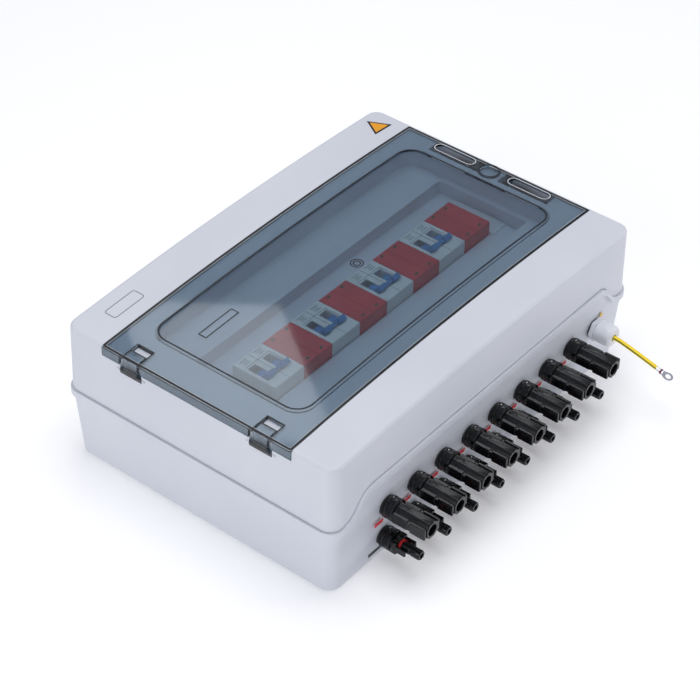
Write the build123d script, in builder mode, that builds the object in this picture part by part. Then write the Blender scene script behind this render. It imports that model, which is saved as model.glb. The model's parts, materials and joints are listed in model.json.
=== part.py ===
from build123d import *
import os

os.makedirs("parts", exist_ok=True)

# A DC combiner box lying on its back, in millimetres.
# +X runs along the long side to the latch end, -Y is the connector side, +Z is out of the door.
# The origin is the centre of the back face.

# ---- enclosure ----
LENGTH = 410
WIDTH = 285
HEIGHT = 140
CROWN = 5.7
BEYOND = 220
WALL = 3
CORNER = 12
BACK_INSET = 4.5
SEAM_LOW = 70
SEAM_HIGH = 92
SEAM_GAP = 0.6
BEAD_STEP = 2
BEAD_BAND = 6
TONGUE_START = -152
TONGUE_END = 158
RAMP = 46
FAR_RAMP = 30
WALL_HOLE_X = 360
WALL_HOLE_Y = 225
WALL_HOLE_R = 3

# ---- door and the well under it ----
DOOR_HALF = 98
DOOR_END = 198.5
DOOR_THICK = 3
DOOR_GAP = 0.3
SKIRT_FOOT = 125
WELL_X = (-170, 176)
WELL_Y = 80.5
WELL_FLOOR = 115
PAN_X = (-156, 170)
PAN_Y = (-53.5, 41.5)
PAN_FLOOR = 102
OPENING_X = (-155.5, 169.5)
OPENING_HALF = 23.5
DISH_DEPTH = 1.2
HINGE_X = -201.2
HINGE_Z = 120
HINGE_Y = (67.5, -67.5)
HINGE_PIN_R = 1.25
BARREL_R = 2.2
TONGUE_HALF = 8
BARREL_HALF = 11
LATCH_X = 190
LATCH_Y = 40
SLOT_LONG = 44
SLOT_WIDE = 13
POCKET_X = (182, 198)
POCKET_Y = (11, 64)
POCKET_FLOOR = 120
SCREW_Y = 53
SCREW_BORE_R = 1.9
SCREW_CLEAR_R = 2.2
POST_TOP = 61
HOOK_Y = (12, 17.5)
LOCK_X = 189
LOCK_Y = 2
LOCK_R = 8.4

# ---- devices on the rail ----
ROW_Y = -6
POLE = 18
DEVICE_WIDE = 2 * POLE
DEVICE_START = -138
DEVICE_HALF = 40
NOSE_HALF = 22.4
NOSE_TOP = 115
SHOULDER = 96
RAIL_TOP = 52
RAIL_HALF = 17.5
RAIL_DEEP = 7.5
RAIL_LONG = 330
RAIL_MID_X = 7
RAIL_FOOT_X = (RAIL_MID_X - 152, RAIL_MID_X + 152)
TOGGLE_Z = 106
TOGGLE_R = 6.5
TOGGLE_REACH = 17
TOGGLE_LEAN = 40
FACE_Z = 113.9
FACE_THICK = 1
LEVER_SLOT_HALF = (4.65, 10.4)
SIDE_GAP = 0.2

# ---- connectors and earth gland ----
PITCH = 36.1
FIRST_X = -134.5
UPPER_Z = 55
LOWER_Z = 21
UPPER_COLLAR_Y = -141.4
LOWER_COLLAR_Y = -139.2
PORTS = 8
PORT_BORE_R = 6.1
UPPER_OUT = 44
LOWER_OUT = 35
GLAND_X = FIRST_X + PORTS * PITCH
GLAND_Z = 54
GLAND_BORE_R = 6.1
GLAND_TIP = 20
WIRE_R = 2
LUG_HOLE_R = 2.65

TOP_END = HEIGHT - CROWN
COVER_HALF_X = LENGTH / 2 - BEAD_STEP
COVER_HALF_Y = WIDTH / 2 - BEAD_STEP
PORT_X = [FIRST_X + PITCH * i for i in range(PORTS)]


def finish(piece, name):
    """Label a finished piece and write its STEP file."""
    piece.part.label = name
    export_step(piece.part, f"parts/{name}.step")


def crowned(drop, floor):
    """Everything under the crowned top, lowered by drop, down to floor."""
    with BuildPart() as body:
        with BuildSketch(Plane.XZ):
            with BuildLine():
                ThreePointArc(
                    (-COVER_HALF_X, TOP_END - drop),
                    (0, HEIGHT - drop),
                    (COVER_HALF_X, TOP_END - drop),
                )
                Line((COVER_HALF_X, TOP_END - drop), (BEYOND, TOP_END - drop - 1))
                Line((BEYOND, TOP_END - drop - 1), (BEYOND, floor))
                Line((BEYOND, floor), (-BEYOND, floor))
                Line((-BEYOND, floor), (-BEYOND, TOP_END - drop - 1))
                Line((-BEYOND, TOP_END - drop - 1), (-COVER_HALF_X, TOP_END - drop))
            make_face()
        extrude(amount=WIDTH, both=True)
    return body.part


def below_seam(drop):
    """Everything under the seam on the connector side, lowered by drop."""
    low = SEAM_LOW - drop
    high = SEAM_HIGH - drop
    with BuildPart() as body:
        with BuildSketch(Plane.XZ.offset(WIDTH / 2 - 12)):
            with BuildLine():
                Line((-LENGTH, -5), (-LENGTH, low))
                Line((-LENGTH, low), (TONGUE_START - RAMP, low))
                Bezier(
                    (TONGUE_START - RAMP, low),
                    (TONGUE_START - RAMP * 0.35, low),
                    (TONGUE_START - RAMP * 0.5, high),
                    (TONGUE_START, high),
                )
                Line((TONGUE_START, high), (TONGUE_END, high))
                Bezier(
                    (TONGUE_END, high),
                    (TONGUE_END + FAR_RAMP * 0.45, high),
                    (TONGUE_END + FAR_RAMP * 0.55, low),
                    (TONGUE_END + FAR_RAMP, low),
                )
                Line((TONGUE_END + FAR_RAMP, low), (LENGTH, low))
                Line((LENGTH, low), (LENGTH, -5))
                Line((LENGTH, -5), (-LENGTH, -5))
            make_face()
        extrude(amount=40)
        with BuildSketch(Plane.XY.offset(-5)):
            with Locations((0, 30)):
                Rectangle(2 * LENGTH, WIDTH + 36)
        extrude(amount=low + 5)
    return body.part


def tray(grow, floor, top):
    """The drafted tray's body, grown by grow all round, from floor to top."""
    taper = BACK_INSET / SEAM_LOW
    half_x = LENGTH / 2 - BEAD_STEP + grow
    half_y = WIDTH / 2 - BEAD_STEP + grow
    with BuildPart() as body:
        for height in (floor, top):
            inset = max(0, taper * (SEAM_LOW - height))
            with BuildSketch(Plane.XY.offset(height)):
                RectangleRounded(2 * (half_x - inset), 2 * (half_y - inset), CORNER + grow)
        loft()
    return body.part


SEAM_SOLID = below_seam(0)
COVER_CUT = below_seam(-SEAM_GAP)
BAND_SOLID = below_seam(BEAD_BAND)

# ---- base shell ----
with BuildPart() as bead:
    with BuildSketch(Plane.XY.offset(SEAM_LOW - BEAD_BAND - 2)):
        RectangleRounded(LENGTH, WIDTH, CORNER + BEAD_STEP)
    extrude(amount=SEAM_HIGH + 10)
    add(SEAM_SOLID, mode=Mode.INTERSECT)
    add(BAND_SOLID, mode=Mode.SUBTRACT)

# a square cord seal lies in a groove along the whole seam
with BuildPart() as seal_ring:
    with BuildSketch(Plane.XY.offset(SEAM_LOW - 5)):
        RectangleRounded(2 * (COVER_HALF_X - 0.6), 2 * (COVER_HALF_Y - 0.6), CORNER - 0.6)
        RectangleRounded(2 * (COVER_HALF_X - 2.4), 2 * (COVER_HALF_Y - 2.4), CORNER - 2.4, mode=Mode.SUBTRACT)
    extrude(amount=SEAM_HIGH)
    add(COVER_CUT, mode=Mode.INTERSECT)
    add(below_seam(1.5), mode=Mode.SUBTRACT)
finish(seal_ring, "seal_gasket")

with BuildPart() as base_shell:
    add(tray(0, 0, SEAM_LOW))
    with BuildSketch(Plane.XY.offset(SEAM_LOW)):
        RectangleRounded(2 * COVER_HALF_X, 2 * COVER_HALF_Y, CORNER)
    extrude(amount=SEAM_HIGH - SEAM_LOW)
    add(bead.part)
    add(SEAM_SOLID, mode=Mode.INTERSECT)
    fillet(base_shell.edges().group_by(Axis.Z)[0], 3)
    add(tray(-WALL, WALL, SEAM_LOW), mode=Mode.SUBTRACT)
    with BuildSketch(Plane.XY.offset(SEAM_LOW)):
        RectangleRounded(2 * (COVER_HALF_X - WALL), 2 * (COVER_HALF_Y - WALL), CORNER - WALL)
    extrude(amount=SEAM_HIGH, mode=Mode.SUBTRACT)
    # mounting bosses, rail feet and the posts that the cover screws bite in
    with BuildSketch(Plane.XY.offset(WALL - 0.5)):
        with GridLocations(WALL_HOLE_X, WALL_HOLE_Y, 2, 2):
            Circle(7)
    extrude(amount=8)
    with BuildSketch(Plane.XY.offset(WALL - 0.5)):
        with Locations(*[(x, ROW_Y) for x in RAIL_FOOT_X]):
            RectangleRounded(20, 60, 3)
    extrude(amount=RAIL_TOP - RAIL_DEEP - WALL + 0.5)
    with BuildSketch(Plane.XY.offset(WALL - 0.5)):
        with Locations((LATCH_X, SCREW_Y), (LATCH_X, -SCREW_Y)):
            Circle(6)
    extrude(amount=POST_TOP - WALL + 0.5)
    with BuildSketch(Plane.XY.offset(-1)):
        with GridLocations(WALL_HOLE_X, WALL_HOLE_Y, 2, 2):
            Circle(WALL_HOLE_R)
    extrude(amount=20, mode=Mode.SUBTRACT)
    with BuildSketch(Plane.XY.offset(30)):
        with Locations((LATCH_X, SCREW_Y), (LATCH_X, -SCREW_Y)):
            Circle(SCREW_BORE_R)
        with Locations(*[(x, ROW_Y) for x in RAIL_FOOT_X]):
            Circle(SCREW_BORE_R)
    extrude(amount=40, mode=Mode.SUBTRACT)
    with BuildSketch(Plane.XZ.offset(WIDTH / 2 - 20)):
        with Locations(*[(x, UPPER_Z) for x in PORT_X], *[(x, LOWER_Z) for x in PORT_X]):
            Circle(PORT_BORE_R)
        with Locations((GLAND_X, GLAND_Z)):
            Circle(GLAND_BORE_R)
    extrude(amount=30, mode=Mode.SUBTRACT)
    add(seal_ring.part, mode=Mode.SUBTRACT)
finish(base_shell, "base_shell")

# ---- front cover: skin, well and pan moulded in one ----
with BuildPart() as envelope:
    with BuildSketch(Plane.XY.offset(SEAM_LOW)):
        RectangleRounded(2 * COVER_HALF_X, 2 * COVER_HALF_Y, CORNER)
    with BuildSketch(Plane.XY.offset(HEIGHT + 5)):
        RectangleRounded(2 * (COVER_HALF_X - 1.2), 2 * (COVER_HALF_Y - 1.2), CORNER - 1.2)
    loft()
    add(crowned(0, 0), mode=Mode.INTERSECT)
    top_edges = envelope.faces().sort_by(Axis.Z)[-1].edges()
    fillet(top_edges, 3.5)

with BuildPart() as hollow:
    with BuildSketch(Plane.XY.offset(SEAM_LOW - 1)):
        RectangleRounded(2 * (COVER_HALF_X - WALL), 2 * (COVER_HALF_Y - WALL), CORNER - WALL)
    with BuildSketch(Plane.XY.offset(HEIGHT + 5)):
        RectangleRounded(2 * (COVER_HALF_X - WALL - 1.2), 2 * (COVER_HALF_Y - WALL - 1.2), CORNER - WALL - 1.2)
    loft()
    add(crowned(WALL, 0), mode=Mode.INTERSECT)


def slab(x_range, y_range, z_range):
    """A plain block between two corners, for ribs and pockets."""
    with BuildPart() as block:
        with BuildSketch(Plane.XY.offset(z_range[0])):
            with Locations(((x_range[0] + x_range[1]) / 2, (y_range[0] + y_range[1]) / 2)):
                Rectangle(x_range[1] - x_range[0], y_range[1] - y_range[0])
        extrude(amount=z_range[1] - z_range[0])
    return block.part


def rounded_slab(x_range, y_range, z_range, radius):
    """A block with rounded upright edges."""
    with BuildPart() as block:
        with BuildSketch(Plane.XY.offset(z_range[0])):
            with Locations(((x_range[0] + x_range[1]) / 2, (y_range[0] + y_range[1]) / 2)):
                RectangleRounded(x_range[1] - x_range[0], y_range[1] - y_range[0], radius)
        extrude(amount=z_range[1] - z_range[0])
    return block.part


SEAT_HALF = DOOR_HALF + DOOR_GAP
UNDER_DOOR = DOOR_THICK + DOOR_GAP

with BuildPart() as seat_skin:
    # the skin that the door lies on
    add(slab((-COVER_HALF_X + 1, COVER_HALF_X - 1), (-SEAT_HALF - 3, SEAT_HALF + 3), (TOP_END - 12, HEIGHT)))
    add(crowned(UNDER_DOOR + WALL, 0), mode=Mode.SUBTRACT)

with BuildPart() as thickening:
    # under the door seat, round the well, round the pan, round the latch pockets, behind the hinges
    add(seat_skin.part)
    add(slab((WELL_X[0] - 3, WELL_X[1] + 3), (-WELL_Y - 3, WELL_Y + 3), (WELL_FLOOR - 3, HEIGHT)))
    add(slab((PAN_X[0] - 3, PAN_X[1] + 3), (PAN_Y[0] - 3, PAN_Y[1] + 3), (PAN_FLOOR - 2.5, WELL_FLOOR)))
    add(slab((WELL_X[1], COVER_HALF_X - 1), (-POCKET_Y[1] - 3, POCKET_Y[1] + 3), (POCKET_FLOOR - 3, HEIGHT)))
    add(slab((-COVER_HALF_X + 1, -COVER_HALF_X + 9), (-SEAT_HALF - 3, SEAT_HALF + 3), (112, HEIGHT)))
    add(crowned(WALL - 0.5, 0), mode=Mode.INTERSECT)

with BuildPart() as seat:
    # the room that the door takes: flush top, open at the hinge end
    add(slab((-LENGTH / 2 - 5, DOOR_END + DOOR_GAP), (-SEAT_HALF, SEAT_HALF), (TOP_END - 12, HEIGHT + 10)))
    add(crowned(UNDER_DOOR, 0), mode=Mode.SUBTRACT)

with BuildPart() as front_cover:
    add(envelope.part)
    add(hollow.part, mode=Mode.SUBTRACT)
    add(thickening.part)
    # tubes that carry the cover screws down to the base posts
    with BuildSketch(Plane.XY.offset(POST_TOP + 0.5)):
        with Locations((LATCH_X, SCREW_Y), (LATCH_X, -SCREW_Y)):
            Circle(6)
    extrude(amount=POCKET_FLOOR - POST_TOP - 1)
    add(COVER_CUT, mode=Mode.SUBTRACT)
    with BuildSketch(Plane.XY.offset(POST_TOP + 0.5)):
        with Locations((LATCH_X, SCREW_Y), (LATCH_X, -SCREW_Y)):
            Circle(6)
    extrude(amount=20)
    add(seat.part, mode=Mode.SUBTRACT)
    add(
        slab(
            (-LENGTH / 2 - 5, -COVER_HALF_X + UNDER_DOOR),
            (-SEAT_HALF, SEAT_HALF),
            (SKIRT_FOOT - 1, HEIGHT),
        ),
        mode=Mode.SUBTRACT,
    )
    # well, pan and the opening for the devices
    add(rounded_slab(WELL_X, (-WELL_Y, WELL_Y), (WELL_FLOOR, HEIGHT), 18), mode=Mode.SUBTRACT)
    add(rounded_slab(PAN_X, PAN_Y, (PAN_FLOOR, HEIGHT), 3), mode=Mode.SUBTRACT)
    add(
        slab(OPENING_X, (ROW_Y - OPENING_HALF, ROW_Y + OPENING_HALF), (PAN_FLOOR - 10, HEIGHT)),
        mode=Mode.SUBTRACT,
    )
    for side in (1, -1):
        y_low, y_high = sorted((side * POCKET_Y[0], side * POCKET_Y[1]))
        add(slab(POCKET_X, (y_low, y_high), (POCKET_FLOOR, HEIGHT)), mode=Mode.SUBTRACT)
    # room under the lock hole's plug
    with BuildSketch(Plane.XY.offset(TOP_END - 7)):
        with Locations((LOCK_X, LOCK_Y)):
            Circle(LOCK_R + 2)
    extrude(amount=20, mode=Mode.SUBTRACT)
    # hinge pockets and the holes for their pins
    for y in HINGE_Y:
        add(
            slab(
                (-LENGTH / 2 - 5, HINGE_X + BARREL_R + 0.6),
                (y - BARREL_HALF - 0.5, y + BARREL_HALF + 0.5),
                (HINGE_Z - BARREL_R - 1.2, HEIGHT),
            ),
            mode=Mode.SUBTRACT,
        )
        with BuildSketch(Plane.XZ.offset(-y)):
            with Locations((HINGE_X, HINGE_Z)):
                Circle(HINGE_PIN_R)
        extrude(amount=BARREL_HALF + 4, both=True, mode=Mode.SUBTRACT)
    with BuildSketch(Plane.XY.offset(POST_TOP)):
        with Locations((LATCH_X, SCREW_Y), (LATCH_X, -SCREW_Y)):
            Circle(SCREW_CLEAR_R)
    extrude(amount=70, mode=Mode.SUBTRACT)
finish(front_cover, "front_cover")

# ---- cover screws, with their heads in the latch pockets ----
with BuildPart() as cover_screws:
    with BuildSketch(Plane.XY.offset(POCKET_FLOOR)):
        with Locations((LATCH_X, SCREW_Y), (LATCH_X, -SCREW_Y)):
            Circle(4)
    extrude(amount=2.6)
    chamfer(cover_screws.edges().group_by(Axis.Z)[-1], 0.6)
    with BuildSketch(Plane.XY.offset(POCKET_FLOOR + 1.2)):
        with Locations((LATCH_X, SCREW_Y), (LATCH_X, -SCREW_Y)):
            Rectangle(1, 5)
            Rectangle(5, 1)
    extrude(amount=3, mode=Mode.SUBTRACT)
    with BuildSketch(Plane.XY.offset(POST_TOP - 16)):
        with Locations((LATCH_X, SCREW_Y), (LATCH_X, -SCREW_Y)):
            Circle(SCREW_BORE_R - 0.05)
    extrude(amount=POCKET_FLOOR - POST_TOP + 16)
finish(cover_screws, "cover_screws")

# ---- door: crowned smoked panel with a dished window, a skirt and two hinge tongues ----
with BuildPart() as door_sheet:
    with BuildSketch(Plane.XY.offset(TOP_END - 12)):
        with Locations(((DOOR_END - COVER_HALF_X) / 2, 0)):
            Rectangle(DOOR_END + COVER_HALF_X, 2 * DOOR_HALF)
    extrude(amount=30)
    fillet(door_sheet.edges().filter_by(Axis.Z), 2)
    add(crowned(0, 0), mode=Mode.INTERSECT)
    add(crowned(DOOR_THICK, 0), mode=Mode.SUBTRACT)

with BuildPart() as dish_outer:
    add(rounded_slab((WELL_X[0] + 1.5, WELL_X[1] - 1.5), (-WELL_Y + 0.7, WELL_Y - 0.7), (120, 150), 17))
    add(crowned(DOOR_THICK + DISH_DEPTH, 0), mode=Mode.SUBTRACT)
    add(crowned(DOOR_THICK - 0.5, 0), mode=Mode.INTERSECT)

with BuildPart() as dish_inner:
    add(rounded_slab((WELL_X[0] + 4, WELL_X[1] - 4), (-WELL_Y + 3.2, WELL_Y - 3.2), (120, 150), 14.5))
    add(crowned(DISH_DEPTH, 0), mode=Mode.SUBTRACT)

with BuildPart() as door:
    add(door_sheet.part)
    add(slab((-COVER_HALF_X, -COVER_HALF_X + DOOR_THICK), (-DOOR_HALF, DOOR_HALF), (SKIRT_FOOT, TOP_END - 1)))
    add(dish_outer.part)
    add(dish_inner.part, mode=Mode.SUBTRACT)
    for y in HINGE_Y:
        # relief each side of the tongue, and the hole behind it
        hinge_hole = (y - TONGUE_HALF, y + TONGUE_HALF)
        add(slab((-191.5, -184), hinge_hole, (120, 150)), mode=Mode.SUBTRACT)
        for side in (1, -1):
            slit = sorted((y + side * (TONGUE_HALF - 0.8), y + side * TONGUE_HALF))
            add(slab((-192, -COVER_HALF_X + DOOR_THICK), slit, (120, 150)), mode=Mode.SUBTRACT)
            notch = sorted((y + side * (TONGUE_HALF - 0.8), y + side * (BARREL_HALF + 1)))
            add(slab((-COVER_HALF_X - 1, -COVER_HALF_X + DOOR_THICK), notch, (120, 132.5)), mode=Mode.SUBTRACT)
            add(slab((-COVER_HALF_X - 1, -COVER_HALF_X + DOOR_THICK), slit, (120, 150)), mode=Mode.SUBTRACT)
        tongue = (y - TONGUE_HALF + 0.8, y + TONGUE_HALF - 0.8)
        add(slab((-COVER_HALF_X, -COVER_HALF_X + DOOR_THICK), tongue, (HINGE_Z, SKIRT_FOOT + 1)))
        with BuildSketch(Plane.XZ.offset(-y)):
            with Locations((HINGE_X, HINGE_Z)):
                Circle(BARREL_R)
        extrude(amount=BARREL_HALF, both=True)
        with BuildSketch(Plane.XZ.offset(-y)):
            with Locations((HINGE_X, HINGE_Z)):
                Circle(HINGE_PIN_R + 0.05)
        extrude(amount=BARREL_HALF + 1, both=True, mode=Mode.SUBTRACT)
    # finger slots and lock hole
    with BuildSketch(Plane.XY.offset(TOP_END - 12)):
        with Locations((LATCH_X, LATCH_Y), (LATCH_X, -LATCH_Y)):
            SlotOverall(SLOT_LONG, SLOT_WIDE, rotation=90)
        with Locations((LOCK_X, LOCK_Y)):
            Circle(LOCK_R)
    extrude(amount=30, mode=Mode.SUBTRACT)
finish(door, "door")

with BuildPart() as door_hooks:
    for side in (1, -1):
        hook = sorted((side * HOOK_Y[0], side * HOOK_Y[1]))
        add(slab((194.5, 197), hook, (121.2, TOP_END - 2)))
        add(slab((192.2, 194.6), hook, (121.2, 123.2)))
    add(door.part, mode=Mode.SUBTRACT)
finish(door_hooks, "door_hooks")

with BuildPart() as hinge_pins:
    for y in HINGE_Y:
        with BuildSketch(Plane.XZ.offset(-y)):
            with Locations((HINGE_X, HINGE_Z)):
                Circle(HINGE_PIN_R)
        extrude(amount=BARREL_HALF + 3.5, both=True)
finish(hinge_pins, "hinge_pins")

with BuildPart() as lock_plug:
    with BuildSketch(Plane.XY.offset(TOP_END - 4)):
        with Locations((LOCK_X, LOCK_Y)):
            Circle(LOCK_R - 0.15)
    extrude(amount=10)
    add(crowned(0, 0), mode=Mode.INTERSECT)
    with BuildSketch(Plane.XY.offset(TOP_END - 5)):
        with Locations((LOCK_X, LOCK_Y)):
            Circle(LOCK_R + 0.8)
    extrude(amount=1.6)
    add(door.part, mode=Mode.SUBTRACT)
finish(lock_plug, "lock_plug")

for number, side in ((1, 1), (2, -1)):
    with BuildPart() as latch:
        y_range = sorted((side * HOOK_Y[0], side * LATCH_Y))
        nose = sorted((side * HOOK_Y[0], side * HOOK_Y[1]))
        pad = sorted((side * 24, side * 38))
        add(slab((185, 191.6), y_range, (POCKET_FLOOR + 0.3, POCKET_FLOOR + 3.3)))
        add(slab((185, 191.9), nose, (POCKET_FLOOR + 3.2, POCKET_FLOOR + 6.5)))
        add(slab((185.5, 191), pad, (POCKET_FLOOR + 3.2, POCKET_FLOOR + 11.5)))
        fillet(latch.edges().filter_by(Axis.Y).group_by(Axis.Z)[-1], 1.2)
    finish(latch, f"latch_{number}")

# ---- rail ----
with BuildPart() as din_rail:
    with BuildSketch(Plane.YZ.offset(RAIL_MID_X - RAIL_LONG / 2)):
        with BuildLine():
            Polyline(
                (ROW_Y - RAIL_HALF, RAIL_TOP),
                (ROW_Y - RAIL_HALF + 5, RAIL_TOP),
                (ROW_Y - RAIL_HALF + 5, RAIL_TOP - RAIL_DEEP + 1),
                (ROW_Y + RAIL_HALF - 5, RAIL_TOP - RAIL_DEEP + 1),
                (ROW_Y + RAIL_HALF - 5, RAIL_TOP),
                (ROW_Y + RAIL_HALF, RAIL_TOP),
                (ROW_Y + RAIL_HALF, RAIL_TOP - 1),
                (ROW_Y + RAIL_HALF - 4, RAIL_TOP - 1),
                (ROW_Y + RAIL_HALF - 4, RAIL_TOP - RAIL_DEEP),
                (ROW_Y - RAIL_HALF + 4, RAIL_TOP - RAIL_DEEP),
                (ROW_Y - RAIL_HALF + 4, RAIL_TOP - 1),
                (ROW_Y - RAIL_HALF, RAIL_TOP - 1),
                close=True,
            )
        make_face()
    extrude(amount=RAIL_LONG)
    with BuildSketch(Plane.XY.offset(40)):
        with Locations(*[(x, ROW_Y) for x in RAIL_FOOT_X]):
            Circle(SCREW_CLEAR_R)
    extrude(amount=10, mode=Mode.SUBTRACT)
finish(din_rail, "din_rail")

RAIL_FLOOR = RAIL_TOP - RAIL_DEEP + 1
with BuildPart() as rail_screws:
    with BuildSketch(Plane.XY.offset(RAIL_FLOOR)):
        with Locations(*[(x, ROW_Y) for x in RAIL_FOOT_X]):
            Circle(4)
    extrude(amount=2.4)
    chamfer(rail_screws.edges().group_by(Axis.Z)[-1], 0.5)
    with BuildSketch(Plane.XY.offset(32)):
        with Locations(*[(x, ROW_Y) for x in RAIL_FOOT_X]):
            Circle(SCREW_BORE_R - 0.05)
    extrude(amount=RAIL_FLOOR - 32)
finish(rail_screws, "rail_screws")


def device_profile(x_start):
    """The stepped outline of a rail device, drawn across the rail at x_start."""
    with BuildPart() as body:
        with BuildSketch(Plane.YZ.offset(x_start + SIDE_GAP)):
            with BuildLine():
                Polyline(
                    (ROW_Y - DEVICE_HALF, RAIL_TOP - 6),
                    (ROW_Y - DEVICE_HALF, SHOULDER),
                    (ROW_Y - NOSE_HALF, SHOULDER),
                    (ROW_Y - NOSE_HALF, NOSE_TOP),
                    (ROW_Y + NOSE_HALF, NOSE_TOP),
                    (ROW_Y + NOSE_HALF, SHOULDER),
                    (ROW_Y + DEVICE_HALF, SHOULDER),
                    (ROW_Y + DEVICE_HALF, RAIL_TOP - 6),
                    (ROW_Y + RAIL_HALF + 0.3, RAIL_TOP - 6),
                    (ROW_Y + RAIL_HALF + 0.3, RAIL_TOP),
                    (ROW_Y - RAIL_HALF - 0.3, RAIL_TOP),
                    (ROW_Y - RAIL_HALF - 0.3, RAIL_TOP - 6),
                    close=True,
                )
            make_face()
        extrude(amount=DEVICE_WIDE - 2 * SIDE_GAP)
    return body.part


def terminals(x_start):
    """Screw wells on both shoulders and wire entries in both ends, one pair for each pole."""
    with BuildPart() as body:
        poles = (x_start + POLE / 2, x_start + 3 * POLE / 2)
        with BuildSketch(Plane.XY.offset(SHOULDER - 8)):
            with Locations(*[(x, ROW_Y + s * 31) for x in poles for s in (-1, 1)]):
                Circle(3)
        extrude(amount=10)
        with BuildSketch(Plane.XZ.offset(-ROW_Y)):
            with Locations(*[(x, 76) for x in poles]):
                Rectangle(9, 9)
        extrude(amount=DEVICE_HALF + 2, both=True)
        add(slab((x_start - 5, x_start + 50), (ROW_Y - DEVICE_HALF + 12, ROW_Y + DEVICE_HALF - 12), (50, 90)),
            mode=Mode.SUBTRACT)
    return body.part


# ---- four two-pole breakers with linked toggles, each beside a two-pole surge protector ----
for number in range(1, 5):
    x_mcb = DEVICE_START + 2 * DEVICE_WIDE * (number - 1)
    x_mid = x_mcb + POLE
    with BuildPart() as mcb:
        add(device_profile(x_mcb))
        fillet(mcb.edges().filter_by(Axis.X).group_by(Axis.Z)[-1], 1)
        add(terminals(x_mcb), mode=Mode.SUBTRACT)
        add(slab((x_mid - 14.5, x_mid + 14.5), (ROW_Y - 12, ROW_Y + 12), (FACE_Z, NOSE_TOP + 1)),
            mode=Mode.SUBTRACT)
        add(slab((x_mid - 14.5, x_mid + 14.5), (ROW_Y - 11, ROW_Y + 11), (TOGGLE_Z - 9, FACE_Z - FACE_THICK)),
            mode=Mode.SUBTRACT)
        slot_x, slot_y = LEVER_SLOT_HALF
        for x in (x_mid - POLE / 2, x_mid + POLE / 2):
            add(slab((x - slot_x, x + slot_x), (ROW_Y - slot_y, ROW_Y + slot_y), (FACE_Z - 2, FACE_Z + 1)),
                mode=Mode.SUBTRACT)
        with BuildSketch(Plane.YZ.offset(x_mid)):
            with Locations((ROW_Y, TOGGLE_Z)):
                Circle(1.55)
        extrude(amount=16.5, both=True, mode=Mode.SUBTRACT)
    finish(mcb, f"mcb_{number}_body")

    with BuildPart() as toggle:
        with BuildSketch(Plane.YZ.offset(x_mid)):
            with Locations((ROW_Y, TOGGLE_Z)):
                Circle(TOGGLE_R)
        extrude(amount=13.8, both=True)
        with BuildSketch(Plane.YZ.offset(x_mid)):
            with Locations((ROW_Y, TOGGLE_Z)):
                Circle(1.5)
        extrude(amount=16, both=True)
        lean = Plane(origin=(x_mid, ROW_Y, TOGGLE_Z), x_dir=(1, 0, 0), z_dir=(0, 0, 1)).rotated((TOGGLE_LEAN, 0, 0))
        with BuildSketch(lean.offset(3)):
            with GridLocations(POLE, 0, 2, 1):
                RectangleRounded(8.5, 5, 0.8)
        extrude(amount=TOGGLE_REACH - 3)
        with BuildSketch(lean.offset(TOGGLE_REACH - 5)):
            Rectangle(POLE, 3)
        extrude(amount=3)
    finish(toggle, f"mcb_{number}_toggle")

    x_spd = x_mcb + DEVICE_WIDE
    with BuildPart() as spd_base:
        add(device_profile(x_spd))
        add(terminals(x_spd), mode=Mode.SUBTRACT)
        add(slab((x_spd - 1, x_spd + 40), (ROW_Y - 22.8, ROW_Y + 22.8), (62, 130)), mode=Mode.SUBTRACT)
    finish(spd_base, f"spd_{number}_base")

    with BuildPart() as cartridges:
        for pole in (0, 1):
            x_low = x_spd + SIDE_GAP + pole * POLE
            add(slab((x_low, x_low + POLE - 2 * SIDE_GAP), (ROW_Y - 22.4, ROW_Y + 22.4), (62, NOSE_TOP)))
        fillet(cartridges.edges().filter_by(Axis.X).group_by(Axis.Z)[-1], 1)
    finish(cartridges, f"spd_{number}_cartridges")

# ---- blank strips close the unused way at each end of the opening ----
DEVICES_END = DEVICE_START + 8 * DEVICE_WIDE
with BuildPart() as blank_strips:
    for x_range in ((OPENING_X[0] + 0.3, DEVICE_START - 0.3), (DEVICES_END + 0.3, OPENING_X[1] - 0.3)):
        add(slab(x_range, (ROW_Y - 27, ROW_Y + 27), (PAN_FLOOR, PAN_FLOOR + 1.6)))
        add(slab(x_range, (ROW_Y - 23, ROW_Y + 23), (PAN_FLOOR - 4, PAN_FLOOR + 0.5)))
finish(blank_strips, "blank_strips")


def nut(x, z, y_face, across, thick, bore):
    """A hexagon nut lying along Y, with its outer face at y_face."""
    with BuildPart() as body:
        with BuildSketch(Plane.XZ.offset(-y_face)):
            with Locations((x, z)):
                RegularPolygon(across / 2, 6, major_radius=False)
                Circle(bore, mode=Mode.SUBTRACT)
        extrude(amount=-thick)
    return body.part


WALL_BODY = tray(0, 0, SEAM_LOW)


def wall_seal(x, z, y_collar, radius):
    """A rubber ring between a connector's collar and the drafted wall."""
    with BuildPart() as body:
        with BuildSketch(Plane.XZ.offset(-y_collar)):
            with Locations((x, z)):
                Circle(radius)
                Circle(6.3, mode=Mode.SUBTRACT)
        extrude(amount=-4)
        add(WALL_BODY, mode=Mode.SUBTRACT)
    return body.part


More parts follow.
